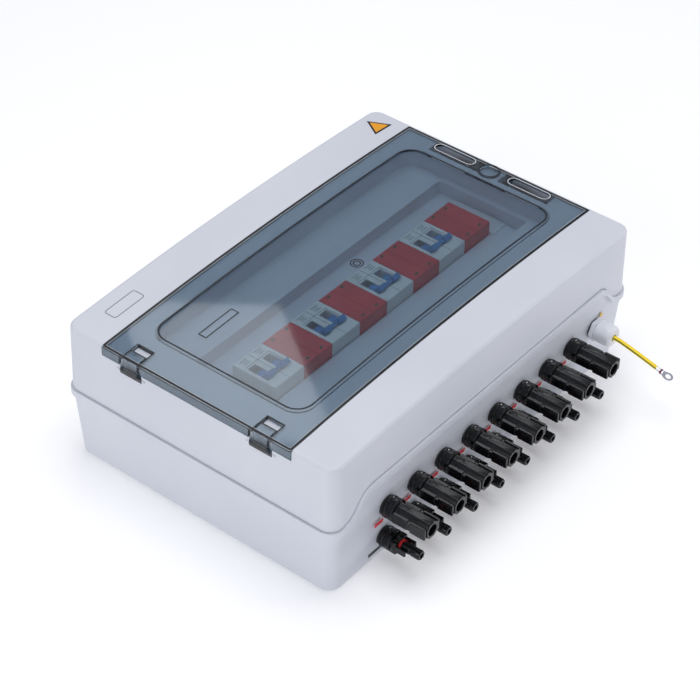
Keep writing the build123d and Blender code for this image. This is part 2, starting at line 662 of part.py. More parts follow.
# ---- panel connectors: hollow shells above, probes with latch fingers below ----
THREAD_R = 6
for number, x in enumerate(PORT_X, start=1):
    y0 = -UPPER_COLLAR_Y
    tip = y0 + UPPER_OUT
    with BuildPart() as shell:
        with BuildSketch(Plane.XZ.offset(126)):
            with Locations((x, UPPER_Z)):
                Circle(THREAD_R)
        extrude(amount=y0 - 126)
        with BuildSketch(Plane.XZ.offset(y0)):
            with Locations((x, UPPER_Z)):
                Circle(10)
        extrude(amount=11)
        with BuildSketch(Plane.XZ.offset(y0 + 11)):
            with Locations((x, UPPER_Z)):
                RegularPolygon(9, 8, major_radius=False)
        extrude(amount=UPPER_OUT - 11)
        with BuildSketch(Plane.XZ.offset(y0 + 26)):
            with Locations((x, UPPER_Z)):
                RectangleRounded(19.5, 14, 2)
        extrude(amount=UPPER_OUT - 26)
        # mouth and the side windows that catch the mating fingers
        with BuildSketch(Plane.XZ.offset(tip - 24)):
            with Locations((x, UPPER_Z)):
                Circle(5.2)
        extrude(amount=25, mode=Mode.SUBTRACT)
        with BuildSketch(Plane.XZ.offset(tip - 17)):
            with Locations((x - 8, UPPER_Z), (x + 8, UPPER_Z)):
                Rectangle(2.4, 7)
        extrude(amount=18, mode=Mode.SUBTRACT)
        with BuildSketch(Plane.YZ.offset(x)):
            with Locations((-(tip - 8), UPPER_Z)):
                Rectangle(6, 7)
        extrude(amount=20, both=True, mode=Mode.SUBTRACT)
    finish(shell, f"socket_{number}_shell")

for number, x in enumerate(PORT_X, start=1):
    y0 = -LOWER_COLLAR_Y
    tip = y0 + LOWER_OUT + 2
    with BuildPart() as probe:
        with BuildSketch(Plane.XZ.offset(124)):
            with Locations((x, LOWER_Z)):
                Circle(THREAD_R)
        extrude(amount=y0 - 124)
        with BuildSketch(Plane.XZ.offset(y0)):
            with Locations((x, LOWER_Z)):
                Circle(9.5)
        extrude(amount=11)
        with BuildSketch(Plane.XZ.offset(y0 + 11)):
            with Locations((x, LOWER_Z)):
                RectangleRounded(16, 12, 2)
        extrude(amount=6)
        with BuildSketch(Plane.XZ.offset(y0 + 17)):
            with Locations((x, LOWER_Z)):
                Circle(4.4)
        extrude(amount=LOWER_OUT - 15)
        with BuildSketch(Plane.XZ.offset(y0 + 17)):
            with Locations((x - 7, LOWER_Z), (x + 7, LOWER_Z)):
                Rectangle(2, 6)
        extrude(amount=9)
        with BuildSketch(Plane.XZ.offset(tip - 18)):
            with Locations((x, LOWER_Z)):
                Circle(2.2)
        extrude(amount=19, mode=Mode.SUBTRACT)
    finish(probe, f"plug_{number}_shell")

with BuildPart() as socket_contacts:
    for x in PORT_X:
        with BuildSketch(Plane.XZ.offset(-UPPER_COLLAR_Y + UPPER_OUT - 24)):
            with Locations((x, UPPER_Z)):
                Circle(2)
        extrude(amount=18)
finish(socket_contacts, "socket_contacts")

with BuildPart() as plug_contacts:
    for x in PORT_X:
        with BuildSketch(Plane.XZ.offset(-LOWER_COLLAR_Y + LOWER_OUT - 16)):
            with Locations((x, LOWER_Z)):
                Circle(2.1)
                Circle(1.6, mode=Mode.SUBTRACT)
        extrude(amount=16)
finish(plug_contacts, "plug_contacts")

with BuildPart() as plug_seals:
    for x in PORT_X:
        with BuildSketch(Plane.XZ.offset(-LOWER_COLLAR_Y + 17)):
            with Locations((x, LOWER_Z)):
                Circle(5.2)
                Circle(4.4, mode=Mode.SUBTRACT)
        extrude(amount=2)
finish(plug_seals, "plug_seals")

with BuildPart() as wall_seals:
    for x in PORT_X:
        add(wall_seal(x, UPPER_Z, UPPER_COLLAR_Y, 9))
        add(wall_seal(x, LOWER_Z, LOWER_COLLAR_Y, 8.5))
    add(wall_seal(GLAND_X, GLAND_Z, UPPER_COLLAR_Y, 9))
finish(wall_seals, "wall_seals")

with BuildPart() as lock_nuts:
    for x in PORT_X:
        add(nut(x, UPPER_Z, -135.8, 17, 5, THREAD_R + 0.05))
        add(nut(x, LOWER_Z, -133.5, 17, 5, THREAD_R + 0.05))
    add(nut(GLAND_X, GLAND_Z, -135.8, 17, 5, THREAD_R + 0.05))
finish(lock_nuts, "lock_nuts")

# ---- earth gland, its wire and lug ----
with BuildPart() as gland_body:
    with BuildSketch(Plane.XZ.offset(126)):
        with Locations((GLAND_X, GLAND_Z)):
            Circle(THREAD_R)
    extrude(amount=-UPPER_COLLAR_Y - 126)
    with BuildSketch(Plane.XZ.offset(-UPPER_COLLAR_Y)):
        with Locations((GLAND_X, GLAND_Z)):
            RegularPolygon(9.5, 6, major_radius=False)
    extrude(amount=4)
    with BuildSketch(Plane.XZ.offset(-UPPER_COLLAR_Y + 4)):
        with Locations((GLAND_X, GLAND_Z)):
            Circle(7)
    extrude(amount=7)
    with BuildSketch(Plane.XZ.offset(120)):
        with Locations((GLAND_X, GLAND_Z)):
            Circle(4)
    extrude(amount=40, mode=Mode.SUBTRACT)
finish(gland_body, "gland_body")

with BuildPart() as gland_cap:
    with BuildSketch(Plane.XZ.offset(-UPPER_COLLAR_Y + 4.3)):
        with Locations((GLAND_X, GLAND_Z)):
            Circle(9.8)
    extrude(amount=GLAND_TIP - 4.3)
    fillet(gland_cap.edges().group_by(Axis.Y)[0], 3)
    with BuildSketch(Plane.XZ.offset(-UPPER_COLLAR_Y + 4)):
        with Locations((GLAND_X, GLAND_Z)):
            Circle(7.1)
    extrude(amount=7.3, mode=Mode.SUBTRACT)
    with BuildSketch(Plane.XZ.offset(-UPPER_COLLAR_Y + 4)):
        with Locations((GLAND_X, GLAND_Z)):
            Circle(3.2)
    extrude(amount=30, mode=Mode.SUBTRACT)
finish(gland_cap, "gland_cap")

with BuildPart() as gland_seal:
    with BuildSketch(Plane.XZ.offset(-UPPER_COLLAR_Y + 1)):
        with Locations((GLAND_X, GLAND_Z)):
            Circle(3.9)
            Circle(WIRE_R, mode=Mode.SUBTRACT)
    extrude(amount=10)
finish(gland_seal, "gland_seal")

# the earth wire leaves the gland straight, then droops under its own weight
WIRE_ROUTE = [
    (GLAND_X, UPPER_COLLAR_Y - GLAND_TIP, GLAND_Z),
    (GLAND_X, UPPER_COLLAR_Y - GLAND_TIP - 4, GLAND_Z),
    (GLAND_X + 0.2, UPPER_COLLAR_Y - GLAND_TIP - 16, GLAND_Z - 2.8),
    (GLAND_X + 0.4, UPPER_COLLAR_Y - GLAND_TIP - 30, GLAND_Z - 6.4),
    (GLAND_X + 0.5, UPPER_COLLAR_Y - GLAND_TIP - 44, GLAND_Z - 10.3),
]


def arc_radii(points):
    """The largest arc at each corner that still leaves a tenth of the shorter run straight."""
    radii = []
    for before, here, after in zip(points, points[1:], points[2:]):
        first = Vector(here) - Vector(before)
        second = Vector(after) - Vector(here)
        half_turn = first.get_angle(second) / 2
        radii.append(0.45 * min(first.length, second.length) / tan_degrees(half_turn))
    return radii


def tan_degrees(angle):
    """The tangent of an angle in degrees, from a vector turned by it."""
    turned = Vector(1, 0, 0).rotate(Axis.Z, angle)
    return turned.Y / turned.X


def tube(points, radii, radius):
    """A round tube of straight runs joined by tangent arcs."""
    with BuildPart() as body:
        with BuildLine() as path:
            FilletPolyline(*points, radius=radii)
        start = Vector(*points[0])
        with BuildSketch(Plane(origin=start, z_dir=Vector(*points[1]) - start)):
            Circle(radius)
        sweep(path=path.wires()[0])
    return body, path.wires()[0].length


earth_radii = arc_radii(WIRE_ROUTE)
print("earth wire arc radii", [round(r, 1) for r in earth_radii])
earth_wire, earth_length = tube(WIRE_ROUTE, earth_radii, WIRE_R)
print("earth wire length", round(earth_length, 2), "volume", round(earth_wire.part.volume, 2))
finish(earth_wire, "earth_wire")

WIRE_END = Vector(*WIRE_ROUTE[-1])
WIRE_AIM = (WIRE_END - Vector(*WIRE_ROUTE[-2])).normalized()
lug_plane = Plane(origin=WIRE_END, x_dir=(1, 0, 0), z_dir=WIRE_AIM)
palm_plane = Plane(origin=WIRE_END + WIRE_AIM * 12.5, x_dir=(1, 0, 0), z_dir=(0, WIRE_AIM.Z, -WIRE_AIM.Y))
with BuildPart() as earth_lug:
    with BuildSketch(lug_plane):
        Circle(1.7)
    extrude(amount=7)
    with BuildSketch(palm_plane):
        with BuildLine():
            Line((-1.8, 7), (1.8, 7))
            Line((1.8, 7), (4.2, 1.5))
            ThreePointArc((4.2, 1.5), (0, -4.4), (-4.2, 1.5))
            Line((-4.2, 1.5), (-1.8, 7))
        make_face()
        Circle(LUG_HOLE_R, mode=Mode.SUBTRACT)
    extrude(amount=0.5, both=True)
finish(earth_lug, "earth_lug")

with BuildPart() as earth_band:
    with BuildSketch(lug_plane.offset(4)):
        Circle(2.3)
        Circle(1.8, mode=Mode.SUBTRACT)
    extrude(amount=1.6)
finish(earth_band, "earth_band")

# ---- inside: earth bar on the floor and the leads ----
BAR_X = (GLAND_X - 20, GLAND_X + 10)
BAR_Y = -95
with BuildPart() as earth_bar:
    add(slab(BAR_X, (BAR_Y - 5, BAR_Y + 5), (WALL, WALL + 9)))
    with BuildSketch(Plane.XZ.offset(-BAR_Y)):
        with Locations((BAR_X[0] + 6, WALL + 4.5), (BAR_X[0] + 15, WALL + 4.5), (GLAND_X, WALL + 4.5)):
            Circle(2.1)
    extrude(amount=8, both=True, mode=Mode.SUBTRACT)
finish(earth_bar, "earth_bar")

EARTH_DOWN_Y = -116
EARTH_ROUTE = [
    (GLAND_X, UPPER_COLLAR_Y - GLAND_TIP, GLAND_Z),
    (GLAND_X, EARTH_DOWN_Y, GLAND_Z),
    (GLAND_X, EARTH_DOWN_Y, WALL + 4.5),
    (GLAND_X, BAR_Y - 1, WALL + 4.5),
]
earth_lead = tube(EARTH_ROUTE, [10, 10], WIRE_R - 0.1)[0]
finish(earth_lead, "earth_lead")

LEAD_R = 2
POLE_X = [DEVICE_START + 2 * DEVICE_WIDE * n + POLE * (p + 0.5) for n in range(4) for p in (0, 1)]
TERMINAL_Z = 76
with BuildPart() as string_leads:
    for x, pole_x in zip(PORT_X, POLE_X):
        route = [
            (x, -125.7, UPPER_Z),
            (x, -98, UPPER_Z),
            (pole_x, -72, TERMINAL_Z),
            (pole_x, ROW_Y - DEVICE_HALF + 8, TERMINAL_Z),
        ]
        add(tube(route, [10, 10], LEAD_R)[0].part)
finish(string_leads, "string_leads")

with BuildPart() as output_leads:
    for x, pole_x in zip(PORT_X, POLE_X):
        route = [
            (x, -123.7, LOWER_Z),
            (x, -90, LOWER_Z),
            (pole_x, 20, LOWER_Z + 3),
            (pole_x, 62, LOWER_Z + 14),
            (pole_x, 62, TERMINAL_Z),
            (pole_x, ROW_Y + DEVICE_HALF - 8, TERMINAL_Z),
        ]
        add(tube(route, [12, 12, 12, 10], LEAD_R)[0].part)
finish(output_leads, "output_leads")
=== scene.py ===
import json
from math import cos, pi, radians, sin, sqrt

import bpy
from mathutils import Matrix, Vector

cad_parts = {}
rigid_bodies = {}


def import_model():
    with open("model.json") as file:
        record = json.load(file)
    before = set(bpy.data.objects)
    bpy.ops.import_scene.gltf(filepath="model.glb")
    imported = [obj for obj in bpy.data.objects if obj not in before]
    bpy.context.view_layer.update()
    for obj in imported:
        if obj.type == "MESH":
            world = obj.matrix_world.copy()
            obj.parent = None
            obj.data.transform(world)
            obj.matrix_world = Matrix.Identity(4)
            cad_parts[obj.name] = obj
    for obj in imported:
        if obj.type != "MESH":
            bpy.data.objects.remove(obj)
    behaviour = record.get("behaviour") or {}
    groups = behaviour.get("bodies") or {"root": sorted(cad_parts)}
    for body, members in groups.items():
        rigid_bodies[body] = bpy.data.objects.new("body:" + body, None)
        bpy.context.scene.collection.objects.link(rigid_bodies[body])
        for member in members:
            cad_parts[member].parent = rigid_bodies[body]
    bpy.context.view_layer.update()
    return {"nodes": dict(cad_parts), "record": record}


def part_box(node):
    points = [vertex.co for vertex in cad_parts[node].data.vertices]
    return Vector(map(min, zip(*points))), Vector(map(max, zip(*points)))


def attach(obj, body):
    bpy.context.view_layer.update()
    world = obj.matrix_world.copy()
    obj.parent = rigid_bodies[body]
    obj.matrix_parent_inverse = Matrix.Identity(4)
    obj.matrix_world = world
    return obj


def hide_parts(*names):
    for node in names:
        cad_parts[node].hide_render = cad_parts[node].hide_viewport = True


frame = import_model()
nodes = frame["nodes"]
MM = 0.001

# ---- places shared with the part, in millimetres ----
PITCH = 36.1
FIRST_X = -134.5
PORTS = 8
PORT_X = [FIRST_X + PITCH * i for i in range(PORTS)]
UPPER_Z = 55
LOWER_Z = 21
UPPER_WALL = 141.4
LOWER_WALL = 139.2
UPPER_OUT = 44
LOWER_TIP = 37
HEIGHT = 140
TOP_END = 134.3
COVER_HALF_X = 203
CROWN_R = (COVER_HALF_X**2 + (HEIGHT - TOP_END) ** 2) / (2 * (HEIGHT - TOP_END))
FILM = 0.12
HINGE_Y = (67.5, -67.5)
LOCK = (189, 2)
GATE = (7.5, 5.5)
SIGN = (178.8, 118)


# ---- modelling by hand ----
def deselect():
    """Leave nothing selected, so that the next operator touches only the new piece."""
    bpy.ops.object.select_all(action="DESELECT")


def use(piece):
    """Make this the one piece that operators act on."""
    deselect()
    piece.select_set(True)
    bpy.context.view_layer.objects.active = piece


def pick_faces(piece, test):
    """Go into edit mode with only the faces selected whose centre and normal pass the test."""
    use(piece)
    bpy.ops.object.mode_set(mode="EDIT")
    bpy.ops.mesh.select_mode(type="FACE")
    bpy.ops.mesh.select_all(action="DESELECT")
    bpy.ops.object.mode_set(mode="OBJECT")
    for face in piece.data.polygons:
        face.select = test(face.center / MM, face.normal)
    bpy.ops.object.mode_set(mode="EDIT")


def object_mode():
    bpy.ops.object.mode_set(mode="OBJECT")


def turned(name, profile, sides=40):
    """A round piece about +Z: a disc extruded and scaled along its profile of (radius, height)."""
    deselect()
    radius, height = profile[0]
    bpy.ops.mesh.primitive_circle_add(
        vertices=sides, radius=radius * MM, fill_type="NGON", location=(0, 0, height * MM)
    )
    piece = bpy.context.object
    piece.name = name
    bpy.ops.object.transform_apply(location=True)
    bpy.ops.object.mode_set(mode="EDIT")
    bpy.ops.mesh.select_all(action="SELECT")
    for next_radius, next_height in profile[1:]:
        bpy.ops.mesh.extrude_region_move(
            TRANSFORM_OT_translate={"value": (0, 0, (next_height - height) * MM)}
        )
        scale = next_radius / radius
        bpy.ops.transform.resize(value=(scale, scale, 1), center_override=(0, 0, next_height * MM))
        radius, height = next_radius, next_height
    bpy.ops.mesh.select_all(action="SELECT")
    bpy.ops.mesh.normals_make_consistent(inside=False)
    object_mode()
    return piece


def block(name, low, high, edge=0.4, segments=2):
    """A block between two corners, with every edge bevelled."""
    deselect()
    middle = [(a + b) / 2 * MM for a, b in zip(low, high)]
    size = [(b - a) * MM for a, b in zip(low, high)]
    bpy.ops.mesh.primitive_cube_add(size=1, location=middle, scale=size)
    piece = bpy.context.object
    piece.name = name
    bpy.ops.object.transform_apply(location=True, scale=True)
    if edge:
        bpy.ops.object.mode_set(mode="EDIT")
        bpy.ops.mesh.select_all(action="SELECT")
        bpy.ops.mesh.bevel(offset=edge * MM, segments=segments, affect="EDGES")
        object_mode()
    return piece


def join(pieces, name):
    """Several meshes become one piece."""
    use(pieces[0])
    for piece in pieces[1:]:
        piece.select_set(True)
    bpy.ops.object.join()
    pieces[0].name = name
    return pieces[0]


def cut(piece, tool):
    """Cut the tool's shape out of the piece, and throw the tool away."""
    use(piece)
    boolean = piece.modifiers.new("cut", "BOOLEAN")
    boolean.operation = "DIFFERENCE"
    boolean.solver = "EXACT"
    boolean.object = tool
    bpy.ops.object.modifier_apply(modifier=boolean.name)
    bpy.data.objects.remove(tool, do_unlink=True)


def soften(piece, width, angle=35):
    """Round the sharp edges a little, so that they catch the light, and shade the rest smooth."""
    use(piece)
    bevel = piece.modifiers.new("soft edges", "BEVEL")
    bevel.width = width * MM
    bevel.segments = 2
    bevel.limit_method = "ANGLE"
    bevel.angle_limit = radians(angle)
    bevel.use_clamp_overlap = True
    bpy.ops.object.modifier_apply(modifier=bevel.name)
    bpy.ops.object.shade_smooth_by_angle(angle=radians(30))


def stand_out(master, name, x, wall, z):
    """A copy of a piece modelled about +Z, standing out of the connector wall."""
    copy = master.copy()
    copy.data = master.data.copy()
    copy.name = name
    bpy.context.collection.objects.link(copy)
    place = Matrix.Translation((x * MM, -wall * MM, z * MM)) @ Matrix.Rotation(pi / 2, 4, "X")
    copy.data.transform(place)
    return copy


def crown_z(x, above=0.0):
    """Height of the crowned top at x."""
    return HEIGHT - CROWN_R + sqrt(CROWN_R**2 - x**2) + above


def film(name, low, high, corner, above, thick=FILM, hole=0.0, stations=16):
    """A thin print or moulded line on the crowned top: a rounded patch, or a ring if hole is its width."""
    deselect()
    middle = ((low[0] + high[0]) / 2 * MM, (low[1] + high[1]) / 2 * MM, 0)
    bpy.ops.mesh.primitive_plane_add(size=1, location=middle)
    piece = bpy.context.object
    piece.name = name
    piece.scale = ((high[0] - low[0]) * MM, (high[1] - low[1]) * MM, 1)
    bpy.ops.object.transform_apply(location=True, scale=True)
    bpy.ops.object.mode_set(mode="EDIT")
    bpy.ops.mesh.select_all(action="SELECT")
    if corner:
        bpy.ops.mesh.bevel(offset=corner * MM, segments=10, affect="VERTICES")
    if hole:
        bpy.ops.mesh.select_all(action="SELECT")
        bpy.ops.mesh.inset(thickness=hole * MM)
        bpy.ops.mesh.delete(type="FACE")
    for i in range(1, stations):
        x = low[0] + (high[0] - low[0]) * i / stations
        bpy.ops.mesh.select_all(action="SELECT")
        bpy.ops.mesh.bisect(plane_co=(x * MM, 0, 0), plane_no=(1, 0, 0))
    object_mode()
    for vertex in piece.data.vertices:
        vertex.co.z = crown_z(vertex.co.x / MM, above) * MM
    solid = piece.modifiers.new("thickness", "SOLIDIFY")
    solid.thickness = thick * MM
    solid.offset = 1
    bpy.ops.object.modifier_apply(modifier=solid.name)
    return piece


# ---- materials ----
def colour(code):
    """An sRGB hex colour in linear light."""
    shares = [int(code[i : i + 2], 16) / 255 for i in (0, 2, 4)]
    linear = [s / 12.92 if s <= 0.04045 else ((s + 0.055) / 1.055) ** 2.4 for s in shares]
    return (*linear, 1)


def add_node(tree, kind, values=None, links=None, **settings):
    """Add one node, set its sockets and settings, and link what comes in."""
    node = tree.nodes.new(kind)
    for name, value in settings.items():
        setattr(node, name, value)
    for socket, value in (values or {}).items():
        node.inputs[socket].default_value = value
    for socket, source in (links or {}).items():
        tree.links.new(source, node.inputs[socket])
    return node


def new_material(name):
    material = bpy.data.materials.new(name)
    material.use_nodes = True
    return material, material.node_tree, material.node_tree.nodes["Principled BSDF"]


def moulded(name, light, dark, rough, grain, depth, ior=1.5, drift=90, metallic=0.0):
    """A slow drift between two shades, and a fine texture, sized in millimetres, in gloss and relief."""
    material, tree, shell = new_material(name)
    where = add_node(tree, "ShaderNodeTexCoord").outputs["Object"]
    slow = add_node(tree, "ShaderNodeTexNoise", {"Scale": 1 / (drift * MM), "Detail": 3.0}, {"Vector": where})
    shades = add_node(tree, "ShaderNodeValToRGB", None, {"Fac": slow.outputs["Fac"]})
    shades.color_ramp.elements[0].position = 0.35
    shades.color_ramp.elements[0].color = colour(dark)
    shades.color_ramp.elements[1].position = 0.65
    shades.color_ramp.elements[1].color = colour(light)
    fine = add_node(tree, "ShaderNodeTexNoise", {"Scale": 1 / (grain * MM), "Detail": 2.0}, {"Vector": where})
    gloss = add_node(
        tree,
        "ShaderNodeMapRange",
        {"From Min": 0.3, "From Max": 0.7, "To Min": rough - 0.05, "To Max": rough + 0.05},
        {"Value": fine.outputs["Fac"]},
    )
    relief = add_node(
        tree, "ShaderNodeBump", {"Strength": 0.5, "Distance": depth * MM}, {"Height": fine.outputs["Fac"]}
    )
    tree.links.new(shades.outputs["Color"], shell.inputs["Base Color"])
    tree.links.new(gloss.outputs["Result"], shell.inputs["Roughness"])
    tree.links.new(relief.outputs["Normal"], shell.inputs["Normal"])
    shell.inputs["IOR"].default_value = ior
    shell.inputs["Metallic"].default_value = metallic
    return material


def fine_matt_abs():
    """ABS from a spark-eroded mould: soft wide highlights, grain about half a millimetre."""
    return moulded("fine_matt_abs", "D9DBE3", "D2D5DE", 0.5, 0.6, 0.03, ior=1.52, drift=140)


def smoked_polycarbonate():
    """Polished tinted polycarbonate: sharp reflections, and a cool grey tint that lamps pass through too."""
    material, tree, shell = new_material("smoked_polycarbonate")
    shell.inputs["Base Color"].default_value = colour("A8B5BF")
    shell.inputs["Transmission Weight"].default_value = 1.0
    shell.inputs["IOR"].default_value = 1.58
    where = add_node(tree, "ShaderNodeTexCoord").outputs["Object"]
    handling = add_node(
        tree, "ShaderNodeTexNoise", {"Scale": 1 / (30 * MM), "Detail": 4.0}, {"Vector": where}
    )
    gloss = add_node(
        tree, "ShaderNodeMapRange", {"To Min": 0.02, "To Max": 0.07}, {"Value": handling.outputs["Fac"]}
    )
    tree.links.new(gloss.outputs["Result"], shell.inputs["Roughness"])
    lamp = add_node(tree, "ShaderNodeLightPath")
    tint = add_node(tree, "ShaderNodeBsdfTransparent", {"Color": colour("BFC9CF")})
    through = add_node(
        tree,
        "ShaderNodeMixShader",
        None,
        {0: lamp.outputs["Is Shadow Ray"], 1: shell.outputs["BSDF"], 2: tint.outputs["BSDF"]},
    )
    tree.links.new(through.outputs["Shader"], tree.nodes["Material Output"].inputs["Surface"])
    return material


def zinc_plate():
    """Bright zinc over pressed steel: a faint mottle from the bath."""
    return moulded("zinc_plate", "C9CBCE", "B4B7BB", 0.32, 1.2, 0.01, drift=12, metallic=1.0)


def satin_white_thermoset():
    """Breaker cases, moulded thermoset with a satin skin."""
    return moulded("satin_white_thermoset", "EDEDEA", "E4E5E2", 0.42, 0.5, 0.02, drift=40)


def blue_nylon():
    """Toggle levers, gloss nylon."""
    return moulded("blue_nylon", "4C8FCB", "4383BF", 0.3, 0.4, 0.01, ior=1.53, drift=20)


def grey_thermoset():
    return moulded("grey_thermoset", "CFCFCD", "C4C4C3", 0.45, 0.5, 0.02, drift=40)


def red_thermoset():
    """Protector cartridges, pigmented thermoset: a little darker where the flow ended."""
    return moulded("red_thermoset", "E23A48", "D2323F", 0.35, 0.5, 0.02, drift=25)


def pale_abs_strip():
    return moulded("pale_abs_strip", "DCDEE2", "D4D6DB", 0.5, 0.5, 0.02, drift=60)


def latch_nylon():
    return moulded("latch_nylon", "24272C", "1D2025", 0.3, 0.4, 0.015, ior=1.53, drift=20)


def black_polyamide():
    """Glass-filled polyamide: gloss black with the fibres' fine haze."""
    material = moulded("black_polyamide", "0B0C0F", "060709", 0.16, 0.35, 0.006, ior=1.56, drift=15)
    material.node_tree.nodes["Principled BSDF"].inputs["Specular IOR Level"].default_value = 0.3
    return material


def nut_polyamide():
    return moulded("nut_polyamide", "17181A", "111214", 0.4, 0.4, 0.02, ior=1.56, drift=15)


def tinned_contact():
    return moulded("tinned_contact", "D6D2C4", "C2BDAC", 0.25, 0.4, 0.005, drift=8, metallic=1.0)


def red_silicone():
    return moulded("red_silicone", "C8202A", "B41B25", 0.5, 0.3, 0.01, ior=1.41, drift=8)


def black_nitrile():
    return moulded("black_nitrile", "1D1E20", "151618", 0.6, 0.3, 0.015, ior=1.52, drift=8)


def white_nylon():
    """Gland body and cap, slightly waxy natural nylon."""
    material = moulded("white_nylon", "E9EBF1", "E1E4EC", 0.38, 0.4, 0.01, ior=1.53, drift=12)
    shell = material.node_tree.nodes["Principled BSDF"]
    shell.inputs["Subsurface Weight"].default_value = 0.1
    shell.inputs["Subsurface Radius"].default_value = (0.002, 0.002, 0.002)
    return material


def yellow_green_pvc():
    """PVC insulation with one green stripe that runs along the wire."""
    material, tree, shell = new_material("yellow_green_pvc")
    round_wire = add_node(
        tree,
        "ShaderNodeSeparateXYZ",
        None,
        {"Vector": add_node(tree, "ShaderNodeTexCoord").outputs["UV"]},
    )
    stripe = add_node(tree, "ShaderNodeValToRGB", None, {"Fac": round_wire.outputs["Y"]})
    stripe.color_ramp.interpolation = "CONSTANT"
    stripe.color_ramp.elements[0].color = colour("FFDD05")
    stripe.color_ramp.elements[1].position = 0.34
    stripe.color_ramp.elements[1].color = colour("2B5A2E")
    after = stripe.color_ramp.elements.new(0.42)
    after.color = colour("FFDD05")
    tree.links.new(stripe.outputs["Color"], shell.inputs["Base Color"])
    shell.inputs["Roughness"].default_value = 0.36
    return material


def tinned_copper():
    return moulded("tinned_copper", "E6E6EE", "D9D9E4", 0.28, 0.5, 0.006, drift=6, metallic=1.0)


def shrunk_sleeve():
    return moulded("shrunk_sleeve", "6B1420", "58101A", 0.45, 0.4, 0.02, drift=5)


def brass_bar():
    return moulded("brass_bar", "D8B465", "C7A255", 0.3, 0.6, 0.01, drift=12, metallic=1.0)


def black_pvc():
    return moulded("black_pvc", "18191B", "121315", 0.42, 0.5, 0.01, drift=20)


def red_pvc():
    return moulded("red_pvc", "B3232B", "A01E26", 0.42, 0.5, 0.01, drift=20)


def ink_and_painted_light_coat(name, code, rough=0.45):
    """A flat coat with a faintly uneven surface: screen-printed ink for the prints, and also the painted
    shade and painted highlights on the door's edges, slots, hinges, pockets and a wall slot.
    """
    return moulded(name, code, code, rough, 0.3, 0.004, drift=10)


FINISHES = {
    "grey_abs": fine_matt_abs(),
    "smoked_pc": smoked_polycarbonate(),
    "zinc_steel": zinc_plate(),
    "breaker_white": satin_white_thermoset(),
    "toggle_blue": blue_nylon(),
    "protector_grey": grey_thermoset(),
    "protector_red": red_thermoset(),
    "strip_grey": pale_abs_strip(),
    "latch_grey": latch_nylon(),
    "connector_black": black_polyamide(),
    "nut_black": nut_polyamide(),
    "contact_metal": tinned_contact(),
    "seal_red": red_silicone(),
    "seal_black": black_nitrile(),
    "gland_white": white_nylon(),
    "earth_insulation": yellow_green_pvc(),
    "tinned_copper": tinned_copper(),
    "band_red": shrunk_sleeve(),
    "brass_bar": brass_bar(),
    "lead_black": black_pvc(),
    "lead_red": red_pvc(),
}
# Dark coat: print on the triangle border, label frame, gate mark and lock ring, and painted shade for the
# dark edges of the door's dish, rim, slots and hinge gaps, the latch pocket floors and a wall slot; also the
# dark films on the hinge feet.
DARK_PRINT_AND_PAINTED_SHADE = ink_and_painted_light_coat("dark_print_and_painted_shade", "16191F", 0.3)
AMBER_INK = ink_and_painted_light_coat("amber_ink", "F0A31C")
RED_INK = ink_and_painted_light_coat("red_ink", "D8323C")
GREY_INK = ink_and_painted_light_coat("grey_ink", "7C828C")
# White coat: painted highlights, thin lines inside the door's edge and round the latch slots.
PAINTED_HIGHLIGHT_WHITE = ink_and_painted_light_coat("painted_highlight_white", "E8EAEE")
DARK_WINDOW = ink_and_painted_light_coat("dark_window", "4A5A4A", 0.2)

for entry in frame["record"]["subparts"]:
    for place in nodes[entry["node"]].material_slots:
        place.material = FINISHES[entry["material_slot"]]


def dress(piece, finish, body):
    """Give a new piece its finish, its body and the record's slot."""
    piece.data.materials.clear()
    piece.data.materials.append(finish)
    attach(piece, body)
    return piece


# ---- camera ----
def place_camera():
    """A long lens above the hinge end, turned a little about its own axis."""
    azimuth, elevation, roll = radians(-52.224), radians(39.404), radians(1.363)
    distance = 2.075
    target = Vector((0, 0, 0.07))
    back = Vector((sin(azimuth) * cos(elevation), -cos(azimuth) * cos(elevation), sin(elevation)))
    level = Vector((cos(azimuth), sin(azimuth), 0))
    upright = back.cross(level)
    right = cos(roll) * level + sin(roll) * upright
    up = cos(roll) * upright - sin(roll) * level
    data = bpy.data.cameras.new("camera")
    data.lens = 126.3
    data.sensor_width = 36
    data.shift_x = -0.0070
    data.shift_y = -0.0224
    data.clip_end = 20
    camera = bpy.data.objects.new("camera", data)
    bpy.context.collection.objects.link(camera)
    turn = Matrix((right, up, back)).transposed().to_4x4()
    camera.matrix_world = Matrix.Translation(target + back * distance) @ turn
    bpy.context.scene.camera = camera


place_camera()


# ---- the earth wire, its control points as in the part ----
GLAND_X = FIRST_X + PORTS * PITCH
GLAND_Z = 54
GLAND_MOUTH = -161.4
EARTH_ROUTE = [
    (GLAND_X, GLAND_MOUTH, GLAND_Z),
    (GLAND_X, GLAND_MOUTH - 4, GLAND_Z),
    (GLAND_X + 0.2, GLAND_MOUTH - 16, GLAND_Z - 2.8),
    (GLAND_X + 0.4, GLAND_MOUTH - 30, GLAND_Z - 6.4),
    (GLAND_X + 0.5, GLAND_MOUTH - 44, GLAND_Z - 10.3),
]
EARTH_WIRE_R = 2


def earth_wire():
    """One smooth run from the gland, drooping under its own weight."""
    data = bpy.data.curves.new("earth_wire_run", "CURVE")
    data.dimensions = "3D"
    data.bevel_depth = EARTH_WIRE_R * MM
    data.bevel_resolution = 6
    data.use_fill_caps = True
    spline = data.splines.new("NURBS")
    spline.points.add(len(EARTH_ROUTE) - 1)
    for point, place in zip(spline.points, EARTH_ROUTE):
        point.co = (*[v * MM for v in place], 1)
    spline.order_u = 3
    spline.use_endpoint_u = True
    spline.resolution_u = 16
    wire = bpy.data.objects.new("earth_wire_run", data)
    bpy.context.collection.objects.link(wire)
    dress(wire, FINISHES["earth_insulation"], "enclosure")
    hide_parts("earth_wire")


earth_wire()


